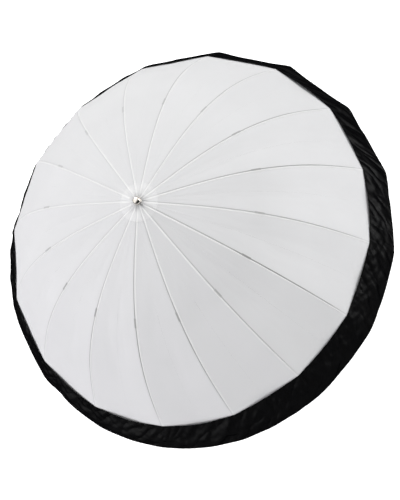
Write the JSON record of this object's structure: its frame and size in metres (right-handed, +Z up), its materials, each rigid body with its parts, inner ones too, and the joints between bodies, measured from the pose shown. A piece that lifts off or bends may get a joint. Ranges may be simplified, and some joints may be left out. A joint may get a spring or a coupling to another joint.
{
  "type": "umbrella reflector",
  "caption": "Deep round studio umbrella: white cloth dome on hinged ribs around a central shaft, with a sliding runner and a dark stretch cover over its mouth, to spread a lamp's light.",
  "frame": {"origin": "free end of the shaft, on its axis, where a lamp's umbrella socket takes it", "axes": "+Z up the shaft from its free end to the tip cap; +X and +Y across, with the first rib in the XZ plane"},
  "size_m": [1.3074, 1.3074, 0.9782],
  "materials": {
    "shaft_steel": "bright plated steel tube",
    "cap_chrome": "polished",
    "hub_plastic": "moulded, satin",
    "wire_steel": "drawn wire",
    "rib_steel": "plated strip",
    "rib_rod": "glass-fibre rod",
    "canopy_cloth": "translucent plain weave",
    "cover_cloth": "stretch knit, black outside and silver inside",
    "elastic_cord": "braided elastic"
  },
  "bodies": {
    "shaft_and_canopy": {"shaft": "shaft_steel", "tip_cap": "cap_chrome", "crown": "hub_plastic", "crown_wire": "wire_steel", "stop_rings": "wire_steel", "canopy": "canopy_cloth", "top_patch": "canopy_cloth"},
    "runner": {"runner": "hub_plastic", "runner_wire": "wire_steel"},
    "catch": {"catch_spring": "wire_steel"},
    "cover": {"cover": "cover_cloth", "cover_elastic": "elastic_cord"},
    "rib_inner_01": {"rib_inner_01": "rib_steel"},
    "rib_outer_01": {"rib_outer_01": "rib_rod"},
    "stretcher_01": {"stretcher_01": "rib_steel"},
    "rib_inner_02": {"rib_inner_02": "rib_steel"},
    "rib_outer_02": {"rib_outer_02": "rib_rod"},
    "stretcher_02": {"stretcher_02": "rib_steel"},
    "rib_inner_03": {"rib_inner_03": "rib_steel"},
    "rib_outer_03": {"rib_outer_03": "rib_rod"},
    "stretcher_03": {"stretcher_03": "rib_steel"},
    "rib_inner_04": {"rib_inner_04": "rib_steel"},
    "rib_outer_04": {"rib_outer_04": "rib_rod"},
    "stretcher_04": {"stretcher_04": "rib_steel"},
    "rib_inner_05": {"rib_inner_05": "rib_steel"},
    "rib_outer_05": {"rib_outer_05": "rib_rod"},
    "stretcher_05": {"stretcher_05": "rib_steel"},
    "rib_inner_06": {"rib_inner_06": "rib_steel"},
    "rib_outer_06": {"rib_outer_06": "rib_rod"},
    "stretcher_06": {"stretcher_06": "rib_steel"},
    "rib_inner_07": {"rib_inner_07": "rib_steel"},
    "rib_outer_07": {"rib_outer_07": "rib_rod"},
    "stretcher_07": {"stretcher_07": "rib_steel"},
    "rib_inner_08": {"rib_inner_08": "rib_steel"},
    "rib_outer_08": {"rib_outer_08": "rib_rod"},
    "stretcher_08": {"stretcher_08": "rib_steel"},
    "rib_inner_09": {"rib_inner_09": "rib_steel"},
    "rib_outer_09": {"rib_outer_09": "rib_rod"},
    "stretcher_09": {"stretcher_09": "rib_steel"},
    "rib_inner_10": {"rib_inner_10": "rib_steel"},
    "rib_outer_10": {"rib_outer_10": "rib_rod"},
    "stretcher_10": {"stretcher_10": "rib_steel"},
    "rib_inner_11": {"rib_inner_11": "rib_steel"},
    "rib_outer_11": {"rib_outer_11": "rib_rod"},
    "stretcher_11": {"stretcher_11": "rib_steel"},
    "rib_inner_12": {"rib_inner_12": "rib_steel"},
    "rib_outer_12": {"rib_outer_12": "rib_rod"},
    "stretcher_12": {"stretcher_12": "rib_steel"},
    "rib_inner_13": {"rib_inner_13": "rib_steel"},
    "rib_outer_13": {"rib_outer_13": "rib_rod"},
    "stretcher_13": {"stretcher_13": "rib_steel"},
    "rib_inner_14": {"rib_inner_14": "rib_steel"},
    "rib_outer_14": {"rib_outer_14": "rib_rod"},
    "stretcher_14": {"stretcher_14": "rib_steel"},
    "rib_inner_15": {"rib_inner_15": "rib_steel"},
    "rib_outer_15": {"rib_outer_15": "rib_rod"},
    "stretcher_15": {"stretcher_15": "rib_steel"},
    "rib_inner_16": {"rib_inner_16": "rib_steel"},
    "rib_outer_16": {"rib_outer_16": "rib_rod"},
    "stretcher_16": {"stretcher_16": "rib_steel"}
  },
  "joints": [
    {"name": "runner_slide", "type": "slide", "parent": "shaft_and_canopy", "child": "runner", "axis": [0, 0, 1], "range_m": [-0.48621, 0], "deforming": ["canopy", "catch_spring"]},
    {"name": "catch_press", "type": "hinge", "parent": "shaft_and_canopy", "child": "catch", "pos_m": [-0.001, 0, 0.68617], "axis": [0, 1, 0], "range_deg": [-7, 0]},
    {"name": "cover_off", "type": "slide", "parent": "shaft_and_canopy", "child": "cover", "axis": [0, 0, 1], "range_m": [-0.7, 0], "deforming": ["cover", "cover_elastic"]},
    {"name": "rib_pivot_01", "type": "hinge", "parent": "shaft_and_canopy", "child": "rib_inner_01", "pos_m": [0.014, 0, 0.9525], "axis": [0, 1, 0], "range_deg": [-0.2, 68.66]},
    {"name": "rib_bend_01", "type": "hinge", "parent": "rib_inner_01", "child": "rib_outer_01", "pos_m": [0.34317, 0, 0.85284], "axis": [0, 1, 0], "range_deg": [-28.65, 0.2]},
    {"name": "stretcher_pivot_01", "type": "hinge", "parent": "rib_inner_01", "child": "stretcher_01", "pos_m": [0.34317, 0, 0.85284], "axis": [0, 1, 0], "range_deg": [-137.31, 0.4]},
    {"name": "rib_pivot_02", "type": "hinge", "parent": "shaft_and_canopy", "child": "rib_inner_02", "pos_m": [0.01293, 0.00536, 0.9525], "axis": [-0.3827, 0.9239, 0], "range_deg": [-0.2, 68.66]},
    {"name": "rib_bend_02", "type": "hinge", "parent": "rib_inner_02", "child": "rib_outer_02", "pos_m": [0.31705, 0.13133, 0.85284], "axis": [-0.3827, 0.9239, 0], "range_deg": [-28.65, 0.2]},
    {"name": "stretcher_pivot_02", "type": "hinge", "parent": "rib_inner_02", "child": "stretcher_02", "pos_m": [0.31705, 0.13133, 0.85284], "axis": [-0.3827, 0.9239, 0], "range_deg": [-137.31, 0.4]},
    {"name": "rib_pivot_03", "type": "hinge", "parent": "shaft_and_canopy", "child": "rib_inner_03", "pos_m": [0.0099, 0.0099, 0.9525], "axis": [-0.7071, 0.7071, 0], "range_deg": [-0.2, 68.66]},
    {"name": "rib_bend_03", "type": "hinge", "parent": "rib_inner_03", "child": "rib_outer_03", "pos_m": [0.24266, 0.24266, 0.85284], "axis": [-0.7071, 0.7071, 0], "range_deg": [-28.65, 0.2]},
    {"name": "stretcher_pivot_03", "type": "hinge", "parent": "rib_inner_03", "child": "stretcher_03", "pos_m": [0.24266, 0.24266, 0.85284], "axis": [-0.7071, 0.7071, 0], "range_deg": [-137.31, 0.4]},
    {"name": "rib_pivot_04", "type": "hinge", "parent": "shaft_and_canopy", "child": "rib_inner_04", "pos_m": [0.00536, 0.01293, 0.9525], "axis": [-0.9239, 0.3827, 0], "range_deg": [-0.2, 68.66]},
    {"name": "rib_bend_04", "type": "hinge", "parent": "rib_inner_04", "child": "rib_outer_04", "pos_m": [0.13133, 0.31705, 0.85284], "axis": [-0.9239, 0.3827, 0], "range_deg": [-28.65, 0.2]},
    {"name": "stretcher_pivot_04", "type": "hinge", "parent": "rib_inner_04", "child": "stretcher_04", "pos_m": [0.13133, 0.31705, 0.85284], "axis": [-0.9239, 0.3827, 0], "range_deg": [-137.31, 0.4]},
    {"name": "rib_pivot_05", "type": "hinge", "parent": "shaft_and_canopy", "child": "rib_inner_05", "pos_m": [0, 0.014, 0.9525], "axis": [-1, 0, 0], "range_deg": [-0.2, 68.66]},
    {"name": "rib_bend_05", "type": "hinge", "parent": "rib_inner_05", "child": "rib_outer_05", "pos_m": [0, 0.34317, 0.85284], "axis": [-1, 0, 0], "range_deg": [-28.65, 0.2]},
    {"name": "stretcher_pivot_05", "type": "hinge", "parent": "rib_inner_05", "child": "stretcher_05", "pos_m": [0, 0.34317, 0.85284], "axis": [-1, 0, 0], "range_deg": [-137.31, 0.4]},
    {"name": "rib_pivot_06", "type": "hinge", "parent": "shaft_and_canopy", "child": "rib_inner_06", "pos_m": [-0.00536, 0.01293, 0.9525], "axis": [-0.9239, -0.3827, 0], "range_deg": [-0.2, 68.66]},
    {"name": "rib_bend_06", "type": "hinge", "parent": "rib_inner_06", "child": "rib_outer_06", "pos_m": [-0.13133, 0.31705, 0.85284], "axis": [-0.9239, -0.3827, 0], "range_deg": [-28.65, 0.2]},
    {"name": "stretcher_pivot_06", "type": "hinge", "parent": "rib_inner_06", "child": "stretcher_06", "pos_m": [-0.13133, 0.31705, 0.85284], "axis": [-0.9239, -0.3827, 0], "range_deg": [-137.31, 0.4]},
    {"name": "rib_pivot_07", "type": "hinge", "parent": "shaft_and_canopy", "child": "rib_inner_07", "pos_m": [-0.0099, 0.0099, 0.9525], "axis": [-0.7071, -0.7071, 0], "range_deg": [-0.2, 68.66]},
    {"name": "rib_bend_07", "type": "hinge", "parent": "rib_inner_07", "child": "rib_outer_07", "pos_m": [-0.24266, 0.24266, 0.85284], "axis": [-0.7071, -0.7071, 0], "range_deg": [-28.65, 0.2]},
    {"name": "stretcher_pivot_07", "type": "hinge", "parent": "rib_inner_07", "child": "stretcher_07", "pos_m": [-0.24266, 0.24266, 0.85284], "axis": [-0.7071, -0.7071, 0], "range_deg": [-137.31, 0.4]},
    {"name": "rib_pivot_08", "type": "hinge", "parent": "shaft_and_canopy", "child": "rib_inner_08", "pos_m": [-0.01293, 0.00536, 0.9525], "axis": [-0.3827, -0.9239, 0], "range_deg": [-0.2, 68.66]},
    {"name": "rib_bend_08", "type": "hinge", "parent": "rib_inner_08", "child": "rib_outer_08", "pos_m": [-0.31705, 0.13133, 0.85284], "axis": [-0.3827, -0.9239, 0], "range_deg": [-28.65, 0.2]},
    {"name": "stretcher_pivot_08", "type": "hinge", "parent": "rib_inner_08", "child": "stretcher_08", "pos_m": [-0.31705, 0.13133, 0.85284], "axis": [-0.3827, -0.9239, 0], "range_deg": [-137.31, 0.4]},
    {"name": "rib_pivot_09", "type": "hinge", "parent": "shaft_and_canopy", "child": "rib_inner_09", "pos_m": [-0.014, 0, 0.9525], "axis": [0, -1, 0], "range_deg": [-0.2, 68.66]},
    {"name": "rib_bend_09", "type": "hinge", "parent": "rib_inner_09", "child": "rib_outer_09", "pos_m": [-0.34317, 0, 0.85284], "axis": [0, -1, 0], "range_deg": [-28.65, 0.2]},
    {"name": "stretcher_pivot_09", "type": "hinge", "parent": "rib_inner_09", "child": "stretcher_09", "pos_m": [-0.34317, 0, 0.85284], "axis": [0, -1, 0], "range_deg": [-137.31, 0.4]},
    {"name": "rib_pivot_10", "type": "hinge", "parent": "shaft_and_canopy", "child": "rib_inner_10", "pos_m": [-0.01293, -0.00536, 0.9525], "axis": [0.3827, -0.9239, 0], "range_deg": [-0.2, 68.66]},
    {"name": "rib_bend_10", "type": "hinge", "parent": "rib_inner_10", "child": "rib_outer_10", "pos_m": [-0.31705, -0.13133, 0.85284], "axis": [0.3827, -0.9239, 0], "range_deg": [-28.65, 0.2]},
    {"name": "stretcher_pivot_10", "type": "hinge", "parent": "rib_inner_10", "child": "stretcher_10", "pos_m": [-0.31705, -0.13133, 0.85284], "axis": [0.3827, -0.9239, 0], "range_deg": [-137.31, 0.4]},
    {"name": "rib_pivot_11", "type": "hinge", "parent": "shaft_and_canopy", "child": "rib_inner_11", "pos_m": [-0.0099, -0.0099, 0.9525], "axis": [0.7071, -0.7071, 0], "range_deg": [-0.2, 68.66]},
    {"name": "rib_bend_11", "type": "hinge", "parent": "rib_inner_11", "child": "rib_outer_11", "pos_m": [-0.24266, -0.24266, 0.85284], "axis": [0.7071, -0.7071, 0], "range_deg": [-28.65, 0.2]},
    {"name": "stretcher_pivot_11", "type": "hinge", "parent": "rib_inner_11", "child": "stretcher_11", "pos_m": [-0.24266, -0.24266, 0.85284], "axis": [0.7071, -0.7071, 0], "range_deg": [-137.31, 0.4]},
    {"name": "rib_pivot_12", "type": "hinge", "parent": "shaft_and_canopy", "child": "rib_inner_12", "pos_m": [-0.00536, -0.01293, 0.9525], "axis": [0.9239, -0.3827, 0], "range_deg": [-0.2, 68.66]},
    {"name": "rib_bend_12", "type": "hinge", "parent": "rib_inner_12", "child": "rib_outer_12", "pos_m": [-0.13133, -0.31705, 0.85284], "axis": [0.9239, -0.3827, 0], "range_deg": [-28.65, 0.2]},
    {"name": "stretcher_pivot_12", "type": "hinge", "parent": "rib_inner_12", "child": "stretcher_12", "pos_m": [-0.13133, -0.31705, 0.85284], "axis": [0.9239, -0.3827, 0], "range_deg": [-137.31, 0.4]},
    {"name": "rib_pivot_13", "type": "hinge", "parent": "shaft_and_canopy", "child": "rib_inner_13", "pos_m": [0, -0.014, 0.9525], "axis": [1, 0, 0], "range_deg": [-0.2, 68.66]},
    {"name": "rib_bend_13", "type": "hinge", "parent": "rib_inner_13", "child": "rib_outer_13", "pos_m": [0, -0.34317, 0.85284], "axis": [1, 0, 0], "range_deg": [-28.65, 0.2]},
    {"name": "stretcher_pivot_13", "type": "hinge", "parent": "rib_inner_13", "child": "stretcher_13", "pos_m": [0, -0.34317, 0.85284], "axis": [1, 0, 0], "range_deg": [-137.31, 0.4]},
    {"name": "rib_pivot_14", "type": "hinge", "parent": "shaft_and_canopy", "child": "rib_inner_14", "pos_m": [0.00536, -0.01293, 0.9525], "axis": [0.9239, 0.3827, 0], "range_deg": [-0.2, 68.66]},
    {"name": "rib_bend_14", "type": "hinge", "parent": "rib_inner_14", "child": "rib_outer_14", "pos_m": [0.13133, -0.31705, 0.85284], "axis": [0.9239, 0.3827, 0], "range_deg": [-28.65, 0.2]},
    {"name": "stretcher_pivot_14", "type": "hinge", "parent": "rib_inner_14", "child": "stretcher_14", "pos_m": [0.13133, -0.31705, 0.85284], "axis": [0.9239, 0.3827, 0], "range_deg": [-137.31, 0.4]},
    {"name": "rib_pivot_15", "type": "hinge", "parent": "shaft_and_canopy", "child": "rib_inner_15", "pos_m": [0.0099, -0.0099, 0.9525], "axis": [0.7071, 0.7071, 0], "range_deg": [-0.2, 68.66]},
    {"name": "rib_bend_15", "type": "hinge", "parent": "rib_inner_15", "child": "rib_outer_15", "pos_m": [0.24266, -0.24266, 0.85284], "axis": [0.7071, 0.7071, 0], "range_deg": [-28.65, 0.2]},
    {"name": "stretcher_pivot_15", "type": "hinge", "parent": "rib_inner_15", "child": "stretcher_15", "pos_m": [0.24266, -0.24266, 0.85284], "axis": [0.7071, 0.7071, 0], "range_deg": [-137.31, 0.4]},
    {"name": "rib_pivot_16", "type": "hinge", "parent": "shaft_and_canopy", "child": "rib_inner_16", "pos_m": [0.01293, -0.00536, 0.9525], "axis": [0.3827, 0.9239, 0], "range_deg": [-0.2, 68.66]},
    {"name": "rib_bend_16", "type": "hinge", "parent": "rib_inner_16", "child": "rib_outer_16", "pos_m": [0.31705, -0.13133, 0.85284], "axis": [0.3827, 0.9239, 0], "range_deg": [-28.65, 0.2]},
    {"name": "stretcher_pivot_16", "type": "hinge", "parent": "rib_inner_16", "child": "stretcher_16", "pos_m": [0.31705, -0.13133, 0.85284], "axis": [0.3827, 0.9239, 0], "range_deg": [-137.31, 0.4]}
  ],
  "couplings": [
    {"joint": "cover_off", "follows": "runner_slide", "ratio": 1.3986},
    {"joint": "rib_pivot_01", "follows": "runner_slide", "rad_per_m": -2.4573},
    {"joint": "rib_bend_01", "follows": "runner_slide", "rad_per_m": 1.0211},
    {"joint": "stretcher_pivot_01", "follows": "runner_slide", "rad_per_m": 4.9146},
    {"joint": "rib_pivot_02", "follows": "runner_slide", "rad_per_m": -2.4573},
    {"joint": "rib_bend_02", "follows": "runner_slide", "rad_per_m": 1.0211},
    {"joint": "stretcher_pivot_02", "follows": "runner_slide", "rad_per_m": 4.9146},
    {"joint": "rib_pivot_03", "follows": "runner_slide", "rad_per_m": -2.4573},
    {"joint": "rib_bend_03", "follows": "runner_slide", "rad_per_m": 1.0211},
    {"joint": "stretcher_pivot_03", "follows": "runner_slide", "rad_per_m": 4.9146},
    {"joint": "rib_pivot_04", "follows": "runner_slide", "rad_per_m": -2.4573},
    {"joint": "rib_bend_04", "follows": "runner_slide", "rad_per_m": 1.0211},
    {"joint": "stretcher_pivot_04", "follows": "runner_slide", "rad_per_m": 4.9146},
    {"joint": "rib_pivot_05", "follows": "runner_slide", "rad_per_m": -2.4573},
    {"joint": "rib_bend_05", "follows": "runner_slide", "rad_per_m": 1.0211},
    {"joint": "stretcher_pivot_05", "follows": "runner_slide", "rad_per_m": 4.9146},
    {"joint": "rib_pivot_06", "follows": "runner_slide", "rad_per_m": -2.4573},
    {"joint": "rib_bend_06", "follows": "runner_slide", "rad_per_m": 1.0211},
    {"joint": "stretcher_pivot_06", "follows": "runner_slide", "rad_per_m": 4.9146},
    {"joint": "rib_pivot_07", "follows": "runner_slide", "rad_per_m": -2.4573},
    {"joint": "rib_bend_07", "follows": "runner_slide", "rad_per_m": 1.0211},
    {"joint": "stretcher_pivot_07", "follows": "runner_slide", "rad_per_m": 4.9146},
    {"joint": "rib_pivot_08", "follows": "runner_slide", "rad_per_m": -2.4573},
    {"joint": "rib_bend_08", "follows": "runner_slide", "rad_per_m": 1.0211},
    {"joint": "stretcher_pivot_08", "follows": "runner_slide", "rad_per_m": 4.9146},
    {"joint": "rib_pivot_09", "follows": "runner_slide", "rad_per_m": -2.4573},
    {"joint": "rib_bend_09", "follows": "runner_slide", "rad_per_m": 1.0211},
    {"joint": "stretcher_pivot_09", "follows": "runner_slide", "rad_per_m": 4.9146},
    {"joint": "rib_pivot_10", "follows": "runner_slide", "rad_per_m": -2.4573},
    {"joint": "rib_bend_10", "follows": "runner_slide", "rad_per_m": 1.0211},
    {"joint": "stretcher_pivot_10", "follows": "runner_slide", "rad_per_m": 4.9146},
    {"joint": "rib_pivot_11", "follows": "runner_slide", "rad_per_m": -2.4573},
    {"joint": "rib_bend_11", "follows": "runner_slide", "rad_per_m": 1.0211},
    {"joint": "stretcher_pivot_11", "follows": "runner_slide", "rad_per_m": 4.9146},
    {"joint": "rib_pivot_12", "follows": "runner_slide", "rad_per_m": -2.4573},
    {"joint": "rib_bend_12", "follows": "runner_slide", "rad_per_m": 1.0211},
    {"joint": "stretcher_pivot_12", "follows": "runner_slide", "rad_per_m": 4.9146},
    {"joint": "rib_pivot_13", "follows": "runner_slide", "rad_per_m": -2.4573},
    {"joint": "rib_bend_13", "follows": "runner_slide", "rad_per_m": 1.0211},
    {"joint": "stretcher_pivot_13", "follows": "runner_slide", "rad_per_m": 4.9146},
    {"joint": "rib_pivot_14", "follows": "runner_slide", "rad_per_m": -2.4573},
    {"joint": "rib_bend_14", "follows": "runner_slide", "rad_per_m": 1.0211},
    {"joint": "stretcher_pivot_14", "follows": "runner_slide", "rad_per_m": 4.9146},
    {"joint": "rib_pivot_15", "follows": "runner_slide", "rad_per_m": -2.4573},
    {"joint": "rib_bend_15", "follows": "runner_slide", "rad_per_m": 1.0211},
    {"joint": "stretcher_pivot_15", "follows": "runner_slide", "rad_per_m": 4.9146},
    {"joint": "rib_pivot_16", "follows": "runner_slide", "rad_per_m": -2.4573},
    {"joint": "rib_bend_16", "follows": "runner_slide", "rad_per_m": 1.0211},
    {"joint": "stretcher_pivot_16", "follows": "runner_slide", "rad_per_m": 4.9146}
  ]
}
